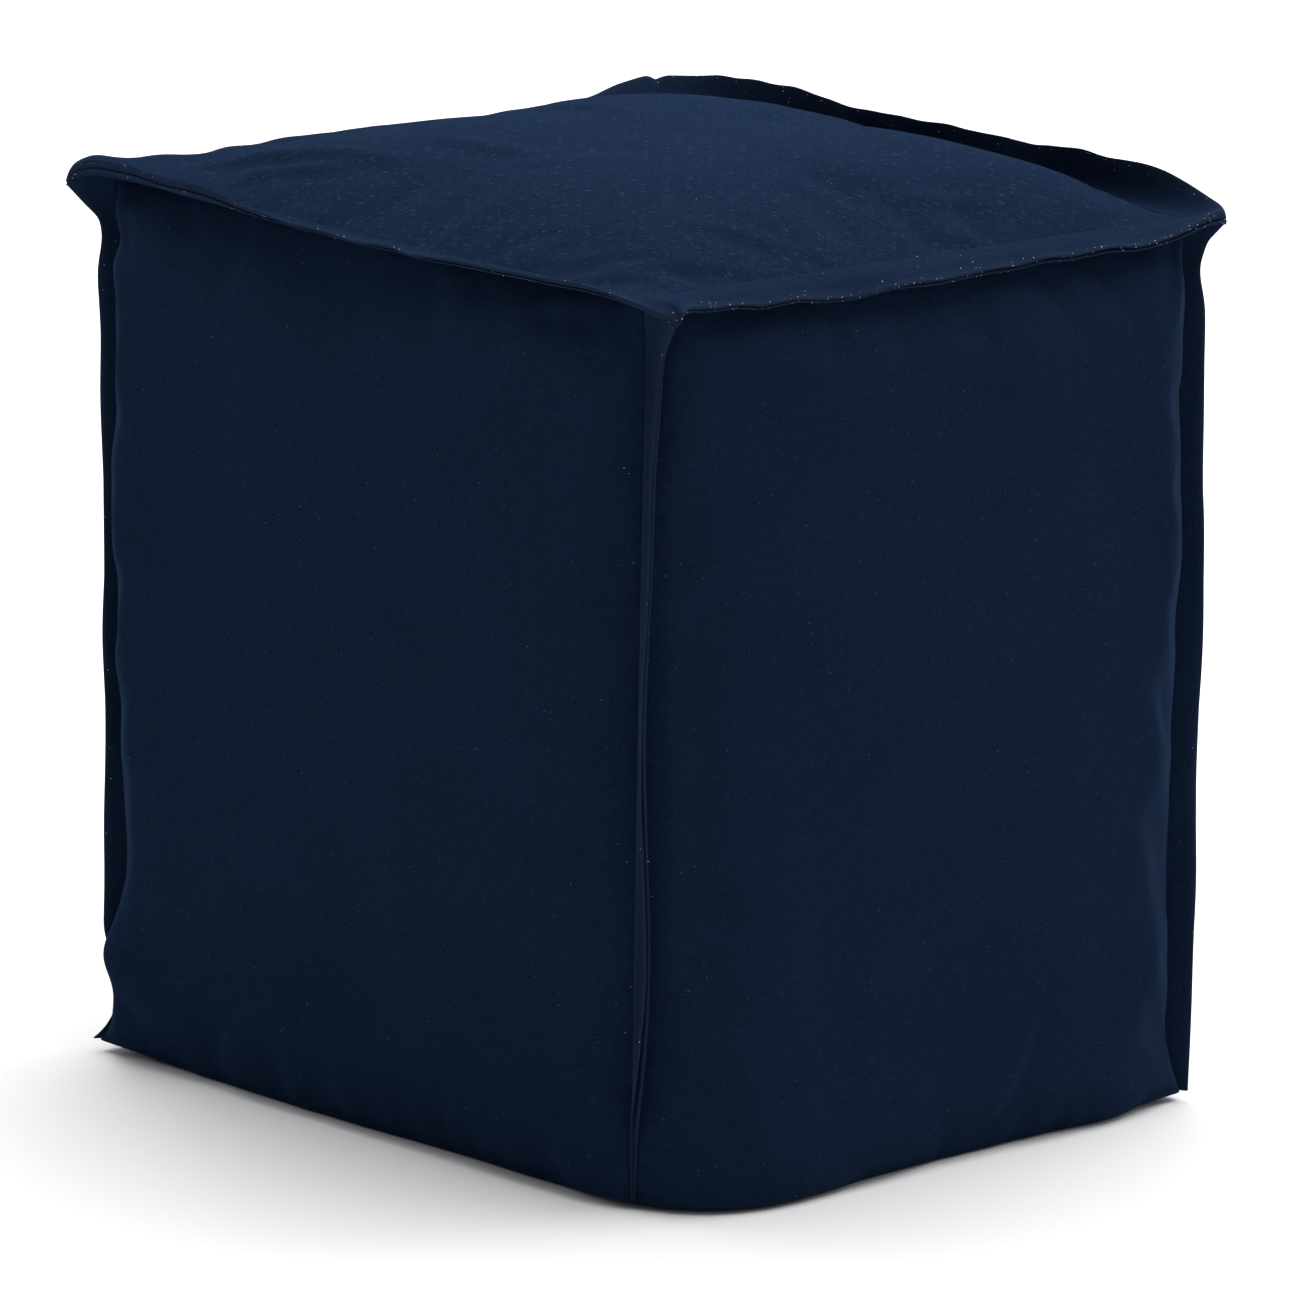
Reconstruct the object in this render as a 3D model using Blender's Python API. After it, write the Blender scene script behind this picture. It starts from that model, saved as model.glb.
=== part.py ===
"""Garden pouf: a filled cube of woven cloth, taller than it is wide.

A doubled flange of the same cloth stands out of the seam round the top and out of each
upright corner seam. Metres, +Z up, the pouf stands on z = 0 over the origin.
"""

import math
from collections import namedtuple

import bmesh
import bpy
from mathutils import Vector

# Driving dimensions, in metres
SEAM_SIDE = 0.353  # from corner seam to corner seam, at the top and at the foot
SEAM_HEIGHT = 0.4205  # from the floor to the top seam
CROWN_HEIGHT = 0.039  # rise of the filled top panel above its seam
FLANGE_WIDTH = 0.0155  # top flange, from the seam's stitches to its lips
CORNER_FLANGE_WIDTH = 0.0125  # the same down the corners

# Filled panels, in metres
TOP_LEAN = (-0.008, -0.008)  # the soft fill leans, which carries the top seam over by this much
CORNER_DRAW_IN = 0.004  # how far the stiff corner seam pulls in between its ends
CORNER_PINCH = 8  # more keeps the poking ends of a corner shorter
EDGE_ROLL = 0.017  # rise of a side panel just beside its corner seams
EDGE_ROLL_REACH = 0.030
TOP_ROLL_REACH = 0.042  # the same roll under the top seam takes this height
FOOT_ROLL_REACH = 0.026  # and this height above the floor
FOOT_ROLL_SHARE = 0.42  # share of the roll that is left where the panel meets the floor
FOOT_SWELL_REACH = 0.045  # distance from the corner seam to the top of a swell at the foot
FOOT_SWELL_HEIGHT = 0.110  # height over which such a swell fades
BELLY = 0.007  # gentle swell of a side panel between its rolled edges
SAG_POWER = 6  # more keeps the sag of a top seam out of the panel below it
CROWN_POWER = 2.4  # 2 is a plain dome, and more is flatter in the middle
LIFT_REACH = 0.070  # distance from a corner over which its lift off the floor fades
BASE_FLAT_SHARE = 0.8  # share of the base that lies on the floor all round

# Flange, in metres
ROOT_OFFSET = 0.0016  # from the seam line to the root of the top flange
CORNER_ROOT_OFFSET = 0.0011  # the same on the corner flanges, which sit in a deeper valley
ROOT_THICKNESS = 0.0014
LIP_THICKNESS = 0.0040
LIP_GROOVE = 0.0030  # depth of the opening between the two lips
LIP_OPENING = 0.0012
LIP_ROUND = 0.0003  # how far the inner edge of a lip lies behind its outer one
SWELL_START = 0.45  # shares of the width at which the section thickens and reaches its lip
LIP_START = 0.92
TIP_REACH = 0.045  # length of top flange over which a corner tip is drawn out
TILT_BLEND = 0.12  # share of a side over which the tilts of two neighbours meet
CORNER_FLANGE_TOP = 0.0035  # depth below the top seam at which a corner flange starts
CORNER_FLANGE_END = 0.020  # height at which a corner flange runs out into its seam
FLARE_HEIGHT = 0.024  # height over which a corner flange widens to carry the tip above it
TIP_SETBACK = 0.001  # from the end of a tip to the widened flange below it
RUN_OUT_HEIGHT = 0.045  # height over which its foot narrows
RUN_OUT_WIDTH = 0.003

# Mesh steps
PANEL_COLUMNS = 20
PANEL_ROWS = 22
FLANGE_STEPS = 16

# A row for each corner, seen from above and going round anticlockwise from the front left.
# out and lift move the top corner of the seam, low_out moves its lower end, ear is how far
# the filled corner pokes out just above the floor and ear_lift how far it clears it, tip is
# the reach of the top flange's drawn-out tip and droop how far it hangs, all in metres.
# lean_top and lean_foot are the corner flange's sideways lean at its ends, in degrees
# anticlockwise seen from above
Corner = namedtuple("Corner", "name x y out lift low_out ear ear_lift tip droop lean_top lean_foot")
CORNERS = (
    Corner("front_left", -1, -1, 0.000, 0.000, -0.006, 0.013, 0.008, 0.021, 0.005, 4.0, 0.0),
    Corner("front_right", 1, -1, 0.000, 0.000, -0.002, -0.006, 0.0025, 0.020, 0.004, 34.0, -10.0),
    Corner("back_right", 1, 1, -0.003, 0.001, 0.000, 0.008, 0.0065, 0.018, 0.008, 0.0, 6.0),
    Corner("back_left", -1, 1, 0.000, 0.000, 0.000, 0.005, 0.004, 0.018, 0.005, 8.0, -6.0),
)

# A row for each side: sag of its top seam and swell of its foot in the middle and beside
# its first corner, in metres, and the top flange's tilt in degrees above level beside its
# first corner, at its quarters and beside its second corner
Side = namedtuple(
    "Side", "name sag foot_middle foot_first tilt_first tilt_near tilt_middle tilt_far tilt_last"
)
SIDES = (
    Side("front", 0.004, -0.012, 0.000, 6.0, 2.0, -3.0, -2.0, -6.0),
    Side("right", 0.001, 0.003, 0.024, -4.0, 0.0, 2.0, 2.0, 4.0),
    Side("back", -0.002, 0.002, 0.000, 44.0, 86.0, 86.0, 80.0, 42.0),
    Side("left", 0.001, 0.002, 0.000, 26.0, 9.0, 4.0, 2.0, 2.0),
)

NAVY = (0.012, 0.022, 0.052, 1.0)
NAVY_EDGE = (0.010, 0.018, 0.044, 1.0)


def clear_scene():
    """Remove whatever the file starts with."""
    for obj in list(bpy.data.objects):
        bpy.data.objects.remove(obj, do_unlink=True)


def spread(count):
    """Fractions from 0 to 1, closer together towards both ends."""
    return [0.5 - 0.5 * math.cos(math.pi * k / count) for k in range(count + 1)]


def roll(distance, reach):
    """Quarter of an ellipse: 0 at a seam, 1 from reach onwards."""
    left = max(0.0, 1.0 - distance / reach)
    return math.sqrt(1.0 - left * left)


def soft_roll(distance, reach):
    """Like roll, but it leaves the seam less steeply."""
    return roll(distance, reach) ** 1.5


def corner_out(index):
    """Unit vector that points out of the pouf along a corner's diagonal."""
    corner = CORNERS[index % 4]
    return Vector((corner.x, corner.y, 0.0)).normalized()


def corner_point(index, share):
    """Point of an upright seam at a share of its height."""
    corner = CORNERS[index % 4]
    near_end = abs(2.0 * share - 1.0) ** CORNER_PINCH
    reach = corner.low_out + (corner.out - corner.low_out) * share - CORNER_DRAW_IN * (1.0 - near_end)
    lift = corner.lift * near_end
    if share < 0.5:
        reach += corner.ear * near_end
        lift = 0.0
    square = Vector((corner.x, corner.y, 0.0)) * (SEAM_SIDE / 2)
    point = square + corner_out(index) * reach
    point += Vector((TOP_LEAN[0], TOP_LEAN[1], 0.0)) * share
    point.z = share * SEAM_HEIGHT + lift + floor_lift(index, share, 0.0)
    return point


def floor_lift(index, share, distance):
    """How far a filled corner's foot clears the floor at a distance from its seam."""
    near_floor = max(0.0, 1.0 - 2.0 * share) ** CORNER_PINCH
    return CORNERS[index % 4].ear_lift * near_floor * max(0.0, 1.0 - distance / LIFT_REACH) ** 2


def panel_point(side, across, share):
    """Point of a filled side panel, by shares of its width and height."""
    start = corner_point(side, share)
    end = corner_point(side + 1, share)
    point = start.lerp(end, across)
    width = (end - start).length
    point.z -= (1.0 - across) * floor_lift(side, share, 0.0) + across * floor_lift(side + 1, share, 0.0)
    point.z += floor_lift(side, share, across * width)
    point.z += floor_lift(side + 1, share, (1.0 - across) * width)
    outward = Vector((end.y - start.y, start.x - end.x, 0.0)).normalized()
    beside_seam = min(across, 1.0 - across) * width
    foot = FOOT_ROLL_SHARE + (1.0 - FOOT_ROLL_SHARE) * roll(share * SEAM_HEIGHT, FOOT_ROLL_REACH)
    rise = EDGE_ROLL * roll(beside_seam, EDGE_ROLL_REACH)
    rise *= foot * soft_roll((1.0 - share) * SEAM_HEIGHT, TOP_ROLL_REACH)
    rise += BELLY * math.sin(math.pi * across) * math.sin(math.pi * share)
    row = SIDES[side % 4]
    low = math.exp(-share * SEAM_HEIGHT / FOOT_SWELL_HEIGHT)
    rise += low * (row.foot_middle * math.sin(math.pi * across) + row.foot_first * hump(across * width))
    point += outward * rise
    point.z -= row.sag * 4.0 * across * (1.0 - across) * share ** SAG_POWER
    return point


def hump(distance):
    """Rounded swell beside a corner: 0 at the seam, 1 a little way along, and gone past it."""
    place = distance / FOOT_SWELL_REACH
    return place * math.exp(1.0 - place) if place > 0.0 else 0.0


def crown(across, deep):
    """Rise of the top panel, 0 on its seam and 1 in its middle."""
    return (1.0 - abs(2.0 * across - 1.0) ** CROWN_POWER) * (1.0 - abs(2.0 * deep - 1.0) ** CROWN_POWER)


def patch_point(across, deep, share):
    """Point inside the four seams at a share of the height, filled smoothly from them."""
    front = panel_point(0, across, share)
    right = panel_point(1, deep, share)
    back = panel_point(2, 1.0 - across, share)
    left = panel_point(3, 1.0 - deep, share)
    corners = [corner_point(index, share) for index in range(4)]
    ruled = front.lerp(back, deep) + left.lerp(right, across)
    return ruled - corners[0].lerp(corners[1], across).lerp(corners[3].lerp(corners[2], across), deep)


def new_material(name, color, roughness):
    """Plain cloth material."""
    material = bpy.data.materials.new(name)
    material.use_nodes = True
    shader = material.node_tree.nodes["Principled BSDF"]
    shader.inputs["Base Color"].default_value = color
    shader.inputs["Roughness"].default_value = roughness
    shader.inputs["Metallic"].default_value = 0.0
    material.diffuse_color = color
    return material


def finish_object(name, mesh_builder, material):
    """Turn a filled bmesh into a smooth named object."""
    bmesh.ops.recalc_face_normals(mesh_builder, faces=mesh_builder.faces)
    if mesh_builder.calc_volume(signed=True) < 0.0:
        bmesh.ops.reverse_faces(mesh_builder, faces=mesh_builder.faces)
    mesh = bpy.data.meshes.new(name)
    mesh_builder.to_mesh(mesh)
    mesh_builder.free()
    mesh.shade_smooth()
    mesh.materials.append(material)
    obj = bpy.data.objects.new(name, mesh)
    bpy.context.scene.collection.objects.link(obj)
    return obj


def join_rings(mesh_builder, rings):
    """Skin closed rings of points one after another with four-sided faces."""
    for lower, upper in zip(rings, rings[1:]):
        for k, vert in enumerate(lower):
            after = (k + 1) % len(lower)
            mesh_builder.faces.new((vert, lower[after], upper[after], upper[k]))


def make_body(material):
    """The filled cover: side panels ring by ring, crowned top panel, flat base."""
    mesh_builder = bmesh.new()
    columns = spread(PANEL_COLUMNS)
    rings = []
    for share in spread(PANEL_ROWS):
        points = [panel_point(side, across, share) for side in range(4) for across in columns[:-1]]
        rings.append([mesh_builder.verts.new(point) for point in points])
    join_rings(mesh_builder, rings)

    # Top panel: its edge is the last ring, its inside is a crowned grid
    count = PANEL_COLUMNS
    seam = rings[-1]
    grid = {}
    for k in range(count):
        grid[k, 0] = seam[k]
        grid[count, k] = seam[count + k]
        grid[count - k, count] = seam[2 * count + k]
        grid[0, count - k] = seam[3 * count + k]
    for i in range(1, count):
        for j in range(1, count):
            point = patch_point(columns[i], columns[j], 1.0)
            point.z += CROWN_HEIGHT * crown(columns[i], columns[j])
            grid[i, j] = mesh_builder.verts.new(point)
    for i in range(count):
        for j in range(count):
            mesh_builder.faces.new((grid[i, j], grid[i + 1, j], grid[i + 1, j + 1], grid[i, j + 1]))

    # Base panel: flat on the floor, closed to its middle
    flat = Vector((BASE_FLAT_SHARE, BASE_FLAT_SHARE, 0.0))
    inner = [mesh_builder.verts.new(vert.co * flat) for vert in rings[0]]
    join_rings(mesh_builder, [inner, rings[0]])
    middle = mesh_builder.verts.new((0.0, 0.0, 0.0))
    for k, vert in enumerate(inner):
        mesh_builder.faces.new((vert, middle, inner[(k + 1) % len(inner)]))
    return finish_object("body", mesh_builder, material)


def flange_section(width):
    """Doubled cloth in section, as (out, up) pairs from the root over the lips and back."""
    half_root = ROOT_THICKNESS / 2
    half_lip = LIP_THICKNESS / 2
    half_opening = LIP_OPENING / 2
    groove = width - min(LIP_GROOVE, 0.4 * width)
    return (
        (0.0, half_root),
        (SWELL_START * width, 0.5 * (half_root + half_lip)),
        (LIP_START * width, half_lip),
        (width, 0.5 * (half_lip + half_opening)),
        (width - LIP_ROUND, half_opening),
        (groove, 0.0),
        (width - LIP_ROUND, -half_opening),
        (width, -0.5 * (half_lip + half_opening)),
        (LIP_START * width, -half_lip),
        (SWELL_START * width, -0.5 * (half_root + half_lip)),
        (0.0, -half_root),
    )


def side_tilt(side, across):
    """Tilt of the top flange above level along a side, in radians."""
    row = SIDES[side % 4]
    tilts = (row.tilt_first, row.tilt_near, row.tilt_middle, row.tilt_far, row.tilt_last)
    place = min(across, 0.9999) * 4.0
    first = int(place)
    ease = place - first
    ease = ease * ease * (3.0 - 2.0 * ease)
    return math.radians(tilts[first] + (tilts[first + 1] - tilts[first]) * ease)


def make_top_flange(material):
    """One frame of doubled cloth round the top seam, mitred at its four drawn-out tips."""
    mesh_builder = bmesh.new()
    rings = []
    for side in range(4):
        for across in spread(FLANGE_STEPS)[:-1]:
            rings.append([mesh_builder.verts.new(point) for point in top_flange_ring(side, across)])
    join_rings(mesh_builder, rings + rings[:1])
    return finish_object("top_flange", mesh_builder, material)


def top_flange_ring(side, across):
    """Points of the top flange's section at one place of its seam."""
    seam = panel_point(side, across, 1.0)
    first = CORNERS[side % 4]
    second = CORNERS[(side + 1) % 4]
    square_out = Vector((0.5 * (first.x + second.x), 0.5 * (first.y + second.y), 0.0))
    near_first = max(0.0, 1.0 - across * SEAM_SIDE / TIP_REACH) ** 2
    near_second = max(0.0, 1.0 - (1.0 - across) * SEAM_SIDE / TIP_REACH) ** 2
    along = (corner_out(side + 1) - corner_out(side)).normalized()
    out = square_out * FLANGE_WIDTH + along * FLANGE_WIDTH * (2.0 * across - 1.0)
    out += corner_out(side) * (first.tip - FLANGE_WIDTH * math.sqrt(2.0)) * near_first
    out += corner_out(side + 1) * (second.tip - FLANGE_WIDTH * math.sqrt(2.0)) * near_second
    tilt = corner_blend_tilt(side, across)
    drop = first.droop * near_first + second.droop * near_second
    level = out.normalized()
    width = out.length
    points = []
    for reach, up in flange_section(width):
        share = reach / width
        distance = ROOT_OFFSET * out.length / FLANGE_WIDTH + reach
        flat = distance * (1.0 - share) + distance * math.cos(tilt) * share
        rise = distance * math.sin(tilt) * share
        point = seam + level * (flat - up * math.sin(tilt) * share)
        point.z += rise + up * (1.0 - share + share * math.cos(tilt)) - drop * share * share
        points.append(point)
    return points


def corner_blend_tilt(side, across):
    """Tilt along a side, turning into the neighbour's tilt at the shared corners."""
    tilt = side_tilt(side, across)
    place = min(across, 1.0 - across) / TILT_BLEND
    if place >= 1.0:
        return tilt
    corner = side if across < 0.5 else side + 1
    shared = 0.5 * (side_tilt(corner, 0.0) + side_tilt(corner - 1, 1.0))
    return shared + (tilt - shared) * place * place * (3.0 - 2.0 * place)


def make_corner_flange(index, material):
    """Strip of doubled cloth out of an upright corner seam."""
    corner = CORNERS[index]
    mesh_builder = bmesh.new()
    out = corner_out(index)
    sideways = Vector((-out.y, out.x, 0.0))
    tilt = corner_blend_tilt(index, 0.0)
    top = SEAM_HEIGHT - CORNER_FLANGE_TOP
    rings = []
    for place in spread(FLANGE_STEPS + 4):
        height = CORNER_FLANGE_END + (top - CORNER_FLANGE_END) * place
        share = height / SEAM_HEIGHT
        seam = corner_point(index, share)
        flare = max(0.0, 1.0 - (top - height) / FLARE_HEIGHT) ** 2
        run_out = min(1.0, (height - CORNER_FLANGE_END) / RUN_OUT_HEIGHT) ** 0.5
        width = CORNER_FLANGE_WIDTH + (corner.tip - TIP_SETBACK - CORNER_FLANGE_WIDTH) * flare
        width = RUN_OUT_WIDTH + (width - RUN_OUT_WIDTH) * run_out
        lean = math.radians(corner.lean_foot + (corner.lean_top - corner.lean_foot) * share)
        ring = []
        for reach, thick in flange_section(width):
            part = reach / width
            swing = math.sin(lean) * reach * part
            distance = CORNER_ROOT_OFFSET + reach * (1.0 - part * (1.0 - math.cos(lean)))
            point = seam + out * distance + sideways * (thick + swing)
            point.z += flare * (reach * math.sin(tilt) * part - corner.droop * part * part)
            ring.append(mesh_builder.verts.new(point))
        rings.append(ring)
    join_rings(mesh_builder, rings)
    mesh_builder.faces.new(rings[0][::-1])
    mesh_builder.faces.new(rings[-1])
    return finish_object("flange_" + corner.name, mesh_builder, material)


def stand_over_origin(objects):
    """Move the meshes together so that the pouf's box is centred over the origin."""
    corners = [vert.co for obj in objects for vert in obj.data.vertices]
    middle_x = 0.5 * (min(co.x for co in corners) + max(co.x for co in corners))
    middle_y = 0.5 * (min(co.y for co in corners) + max(co.y for co in corners))
    for obj in objects:
        for vert in obj.data.vertices:
            vert.co.x -= middle_x
            vert.co.y -= middle_y


def main():
    clear_scene()
    cloth = new_material("navy_cloth", NAVY, 0.9)
    edge_cloth = new_material("navy_flange_cloth", NAVY_EDGE, 0.92)
    pieces = [make_body(cloth), make_top_flange(edge_cloth)]
    pieces += [make_corner_flange(index, edge_cloth) for index in range(4)]
    stand_over_origin(pieces)


main()
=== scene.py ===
# %% [markdown]
# # A filled cube pouf in navy cloth
#
# The pouf is a cube of woven cloth, taller than it is wide, packed tight with loose filling.
# Every seam round the top and down the corners carries a flange: the two seam edges are turned
# in and left standing proud as a doubled lip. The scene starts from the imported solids, which
# give the size and the place of everything, and dresses them as cloth.

import math
from collections import namedtuple

import bmesh
import bpy
import numpy as np
from mathutils import Matrix, Vector, noise


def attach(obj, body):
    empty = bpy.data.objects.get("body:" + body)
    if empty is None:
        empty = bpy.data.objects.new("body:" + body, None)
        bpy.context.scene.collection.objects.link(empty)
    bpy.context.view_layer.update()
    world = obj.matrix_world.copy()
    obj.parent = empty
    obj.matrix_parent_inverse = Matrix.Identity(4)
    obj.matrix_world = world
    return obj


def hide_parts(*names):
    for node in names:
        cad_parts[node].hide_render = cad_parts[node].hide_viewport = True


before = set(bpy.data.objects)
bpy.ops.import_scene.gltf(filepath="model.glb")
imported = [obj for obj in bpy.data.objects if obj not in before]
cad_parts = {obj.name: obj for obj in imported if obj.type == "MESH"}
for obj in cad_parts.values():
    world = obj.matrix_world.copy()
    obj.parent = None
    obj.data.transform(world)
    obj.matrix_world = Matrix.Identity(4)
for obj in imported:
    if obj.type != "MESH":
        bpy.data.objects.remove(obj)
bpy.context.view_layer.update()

# %% [markdown]
# ## The pattern of the cover
#
# A maker describes a pouf by its cut sizes. The same is done here: the seams come first, as
# four upright corner lines and four top edges, and the panels are stretched between them.
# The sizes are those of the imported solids, so the cloth lands where the solids are.
# The tables hold what differs from corner to corner and from side to side, because loose
# filling never settles evenly.

# %% Sizes in metres
SEAM_SIDE = 0.353
SEAM_HEIGHT = 0.4205  # from the floor to the top seam
TOP_LEAN = (-0.008, -0.008)  # the soft filling carries the top over by this much
CORNER_DRAW_IN = 0.004  # a corner seam pulls in this far between its ends
CORNER_PINCH = 8
FOOT_PINCH = 13
CROWN_HEIGHT = 0.03  # before the filling presses the top up
CROWN_POWER = 3.2  # 2 is a plain dome, more is flatter in the middle
EDGE_ROLL = 0.0155  # rise of a side panel beside its corner seams
TOP_ROLL_REACH = 0.042
TOP_ROLL_POWER = 1.5
FOOT_ROLL_REACH = 0.026
FOOT_ROLL_SHARE = 0.42  # share of the roll that is left on the floor
FOOT_SWELL_REACH = 0.045
FOOT_SWELL_HEIGHT = 0.11
EAR_POWER = 1.5
FLAT_EAR_REACH = 0.065  # the panel beside a drawn-out ear lies flat over this distance
FULL_EAR = 0.01  # an ear this long flattens it fully
FULL_REACH = 0.08
BELLY = 0.006  # swell of a side panel between its rolled edges
SAG_POWER = 6  # more keeps the sag of a top seam out of the panel below it
LIFT_REACH = 0.07
FLANGE_WIDTH = 0.0155
CORNER_FLANGE_WIDTH = 0.0125
ROOT_OFFSET = 0.0016  # from the seam line to the root of the top flange
CORNER_ROOT_OFFSET = 0.0011
TIP_REACH = 0.045  # length of top flange over which a corner tip is drawn out
TIP_ROUND = 0.008
TILT_BLEND = 0.12  # share of a side over which two neighbours' tilts meet

# Each corner: how far its seam stands out and rises, its ear on the floor, how far the cloth
# beside it needs to roll over, how full it is there, and how far its seam bows to one side
Corner = namedtuple("Corner", "name x y out lift low_out ear ear_reach ear_lift roll full bow")
CORNERS = (
    Corner("front_left", -1, -1, 0.0, 0.0, -0.006, 0.013, 0.05, 0.005, 0.014, 1.28, 0.0017),
    Corner("front_right", 1, -1, 0.0, 0.0, -0.002, -0.006, 0.353, 0.003, 0.012, 0.68, -0.0005),
    Corner("back_right", 1, 1, -0.003, 0.001, 0.0, 0.0075, 0.026, 0.0035, 0.026, 1.0, 0.0017),
    Corner("back_left", -1, 1, 0.0, 0.0, 0.0, 0.005, 0.05, 0.004, 0.03, 1.0, 0.0017),
)

# The top flange's tip at each corner: its reach, how far and over what length it droops, how much
# thicker and how far open its lips are. Under it the corner flange flares out over the flare's
# height and narrows by the waist at a depth below the tip
Tip = namedtuple("Tip", "reach droop droop_reach bulk opening flare waist waist_depth")
TIPS = (
    Tip(0.0225, 0.013, 0.021, 0.0018, 0.0001, 0.022, 0.0034, 0.029),
    Tip(0.0195, 0.01, 0.026, 0.0012, 0.0002, 0.026, 0.001, 0.034),
    Tip(0.019, 0.007, 0.036, 0.0022, 0.0002, 0.01, 0.0036, 0.022),
    Tip(0.0215, 0.006, 0.045, 0.001, 0.0004, 0.02, 0.0015, 0.028),
)

# The flange down each corner: its lean in degrees at five heights, its least width at the foot,
# and the height of the notch where it starts to run out
CornerFlange = namedtuple(
    "CornerFlange", "lean_foot lean_low lean_middle lean_high lean_top foot_width notch")
CORNER_FLANGES = (
    CornerFlange(0.0, 1.0, 2.0, 3.0, 4.0, 0.0012, 0.026),
    CornerFlange(-4.0, 26.0, 14.0, 17.0, 40.0, 0.002, 0.026),
    CornerFlange(6.0, 5.0, 3.0, 1.0, 0.0, 0.0016, -0.03),
    CornerFlange(-6.0, -3.0, 1.0, 4.0, 8.0, 0.002, 0.01),
)

# Each side: the sag of its top seam and the swell of its foot
Side = namedtuple("Side", "name sag foot_middle foot_first")
SIDES = (
    Side("front", 0.004, -0.012, 0.0),
    Side("right", 0.001, 0.003, 0.024),
    Side("back", -0.002, 0.002, 0.0),
    Side("left", 0.001, 0.002, 0.0),
)

# The top flange along each side: its tilt in degrees at five places, the opening between its
# lips, and how far the lower lip stays short of the upper one
TopFlange = namedtuple("TopFlange", "tilt_first tilt_near tilt_middle tilt_far tilt_last opening short")
TOP_FLANGES = (
    TopFlange(23.0, 23.0, 9.0, 6.0, 6.0, 0.0002, 0.006),
    TopFlange(-10.0, -25.0, -20.0, -16.0, -10.0, 0.001, 0.0004),
    TopFlange(44.0, 76.0, 78.0, 74.0, 42.0, 0.001, 0.0008),
    TopFlange(22.0, 6.0, 2.0, 0.0, 2.0, 0.001, 0.0008),
)
print(len(CORNERS), "corners and", len(SIDES), "sides")

# %% [markdown]
# ## Seams and panels as functions
#
# A panel could be modelled by pushing vertices about, but cloth over filling follows a rule:
# it leaves its seam steeply, rolls over within three centimetres and then runs almost flat.
# A function of two shares, across and up, says that once for all four sides.


# %% Seam lines
def roll(distance, reach):
    """Quarter of an ellipse: 0 at a seam, 1 from reach onwards."""
    left = max(0.0, 1.0 - distance / reach)
    return math.sqrt(1.0 - left * left)


def ease(share):
    """Smooth step from 0 to 1."""
    share = min(1.0, max(0.0, share))
    return share * share * (3.0 - 2.0 * share)


def hump(distance):
    """Rounded swell beside a corner: 0 at the seam, 1 a little way along, and gone past it."""
    place = distance / FOOT_SWELL_REACH
    return place * math.exp(1.0 - place) if place > 0.0 else 0.0


def near_foot(share):
    """1 on the floor and almost nothing a hand's width above it."""
    return max(0.0, 1.0 - 2.0 * share) ** FOOT_PINCH


def corner_out(index):
    """Unit vector that points out of the pouf along a corner's diagonal."""
    corner = CORNERS[index % 4]
    return Vector((corner.x, corner.y, 0.0)).normalized()


def floor_lift(index, share, distance):
    """How far a filled corner's foot clears the floor at a distance from its seam."""
    fade = max(0.0, 1.0 - distance / LIFT_REACH) ** 2
    return CORNERS[index % 4].ear_lift * near_foot(share) * fade


def ear_out(index, share, distance):
    """How the cloth follows a corner's ear out at a distance from its seam."""
    corner = CORNERS[index % 4]
    fade = max(0.0, 1.0 - distance / corner.ear_reach) ** EAR_POWER
    return corner_out(index) * (corner.ear * near_foot(share) * fade)


def seam_line(index, share):
    """Point of an upright seam at a share of its height, without its ear."""
    corner = CORNERS[index % 4]
    near_end = abs(2.0 * share - 1.0) ** CORNER_PINCH
    reach = corner.low_out + (corner.out - corner.low_out) * share - CORNER_DRAW_IN * (1.0 - near_end)
    lift = corner.lift * near_end if share > 0.5 else 0.0
    point = Vector((corner.x, corner.y, 0.0)) * (SEAM_SIDE / 2) + corner_out(index) * reach
    point += Vector((TOP_LEAN[0], TOP_LEAN[1], 0.0)) * share
    point += Vector((corner.bow, corner.bow, 0.0)) * math.sin(math.pi * share)
    point.z = share * SEAM_HEIGHT + lift + floor_lift(index, share, 0.0)
    return point


def corner_point(index, share):
    """Point of an upright seam at a share of its height."""
    return seam_line(index, share) + ear_out(index, share, 0.0)


print("front right seam runs from", corner_point(1, 0.0), "to", corner_point(1, 1.0))

# %% Unevenness of the filling
UNEVEN_SIZE = 0.095  # from one soft swell to the next
UNEVEN_RISE = 0.0022
UNEVEN_FINE = 0.4  # size and rise of the finer swells, against the broad ones
UNEVEN_PLACE = Vector((3.1, 7.7, 1.3))  # where in the noise the pouf lies

# Swells and hollows of a panel: the middle as distance from its first corner and height, or as
# x and y on the top, then how far it stands out and its reach both ways
SWELLS = {
    "top": (
        (0.145, 0.14, 0.0115, 0.05, 0.045),
        (-0.125, -0.01, -0.0045, 0.07, 0.09),
    ),
    "front": (
        (0.01, 0.398, -0.006, 0.022, 0.013),
        (0.01, 0.293, 0.0011, 0.03, 0.016),
        (0.01, 0.24, 0.0027, 0.03, 0.06),
        (0.01, 0.193, 0.001, 0.03, 0.013),
        (0.01, 0.1, -0.001, 0.035, 0.018),
        (0.01, 0.053, 0.007, 0.022, 0.015),
        (0.16, 0.0, 0.0085, 0.085, 0.04),
    ),
    "right": (
        (0.18, 0.0, 0.005, 0.15, 0.04),
        (0.338, 0.285, 0.0045, 0.025, 0.06),
        (0.338, 0.115, -0.0016, 0.035, 0.03),
        (0.335, 0.032, -0.005, 0.03, 0.014),
        (0.33, 0.002, 0.0035, 0.04, 0.012),
    ),
}


def uneven(point):
    """Slow swells that loose filling leaves under the cloth."""
    broad = noise.noise(point / UNEVEN_SIZE + UNEVEN_PLACE)
    return UNEVEN_RISE * (broad + UNEVEN_FINE * noise.noise(point / (UNEVEN_FINE * UNEVEN_SIZE)))


def swells(panel, along, height):
    """Sum of a panel's swells and hollows at a place on it."""
    total = 0.0
    for middle_along, middle_up, rise, reach_along, reach_up in SWELLS.get(panel, ()):
        beside = (along - middle_along) / reach_along
        above = (height - middle_up) / reach_up
        total += rise * math.exp(-beside * beside - above * above)
    return total


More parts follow.
